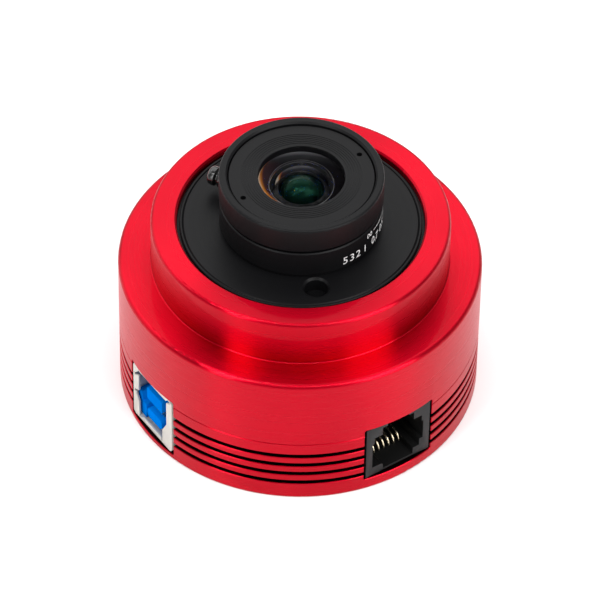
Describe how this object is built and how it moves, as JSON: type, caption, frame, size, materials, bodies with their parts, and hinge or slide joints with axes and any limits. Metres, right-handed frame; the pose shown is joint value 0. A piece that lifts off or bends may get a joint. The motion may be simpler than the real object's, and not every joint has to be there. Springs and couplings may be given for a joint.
{
  "type": "uncooled astronomy camera",
  "caption": "Round uncooled astronomy camera with a stepped nose, wide-angle lens with focus ring and lock screw, USB type B port and guide port.",
  "frame": {"origin": "centre of the flat rear face, which the camera stands on", "axes": "+Z along the optical axis, out of the lens; the USB port faces -X and the guide port faces -Y"},
  "size_m": [0.062, 0.062, 0.0464],
  "materials": {
    "red_anodised": "satin red anodised, finely turned",
    "black_anodised": "satin black anodised",
    "black_steel": "black oxide",
    "circuit_board": "green solder mask on glass-fibre laminate",
    "plain_brass": "turned",
    "bright_steel": "plain steel",
    "chip_epoxy": "moulded epoxy",
    "capacitor_ceramic": "fired ceramic",
    "black_plastic": "fine moulded texture",
    "thermal_silicone": "soft silicone",
    "sensor_silicon": "polished silicon",
    "clear_glass": "coated on both sides",
    "coated_glass": "green and violet multicoating",
    "nickel_steel": "nickel-plated sheet",
    "blue_plastic": "moulded",
    "gold_contact": "gold-plated",
    "black_rubber": "matt",
    "nylon": "natural"
  },
  "bodies": {
    "camera": {"front_housing": "red_anodised", "rear_housing": "red_anodised", "case_screws": "black_steel", "main_board": "circuit_board", "sensor_board": "circuit_board", "board_standoffs": "plain_brass", "board_screws": "bright_steel", "processor_chip": "chip_epoxy", "memory_chip": "chip_epoxy", "usb_controller_chip": "chip_epoxy", "crystal_oscillator": "bright_steel", "power_inductors": "chip_epoxy", "capacitors": "capacitor_ceramic", "board_connector_plug": "black_plastic", "board_connector_socket": "black_plastic", "thermal_pad": "thermal_silicone", "sensor_package": "capacitor_ceramic", "sensor_chip": "sensor_silicon", "sensor_cover_glass": "clear_glass", "usb_shell": "nickel_steel", "usb_insulator": "blue_plastic", "usb_contacts": "gold_contact", "guide_port_housing": "black_plastic", "guide_port_contacts": "gold_contact", "window_oring": "black_rubber", "protective_window": "clear_glass", "window_retaining_ring": "black_anodised", "lens_mount_adapter": "black_anodised", "lens_barrel": "black_anodised", "focus_ring_circlip": "bright_steel"},
    "focus_ring": {"focus_ring": "black_anodised", "drive_pins": "bright_steel"},
    "optics": {"optics_cell": "black_anodised", "front_retaining_ring": "black_anodised", "front_element": "coated_glass", "front_spacer": "black_anodised", "second_element": "coated_glass", "middle_spacer": "black_anodised", "aperture_stop": "black_anodised", "rear_element": "coated_glass", "rear_retaining_ring": "black_anodised"},
    "lock_pad": {"lock_screw_pad": "nylon"},
    "lock_screw": {"lock_thumbscrew": "black_steel"}
  },
  "joints": [
    {"name": "focus_turn", "type": "hinge", "parent": "camera", "child": "focus_ring", "pos_m": [0, 0, 0.044], "axis": [0, 0, 1], "range_deg": [0, 270]},
    {"name": "focus_travel", "type": "slide", "parent": "focus_ring", "child": "optics", "axis": [0, 0, 1], "range_m": [0, 0.000375]},
    {"name": "lock_screw_travel", "type": "slide", "parent": "camera", "child": "lock_pad", "axis": [-0.4695, 0.8829, 0], "range_m": [0, 0.001]},
    {"name": "lock_screw_turn", "type": "hinge", "parent": "lock_pad", "child": "lock_screw", "pos_m": [-0.00648, 0.01218, 0.0385], "axis": [-0.4695, 0.8829, 0], "range_deg": [0, 900]}
  ],
  "couplings": [
    {"joint": "focus_turn", "follows": "focus_travel", "rad_per_m": 12566},
    {"joint": "lock_screw_turn", "follows": "lock_screw_travel", "rad_per_m": 15708}
  ]
}
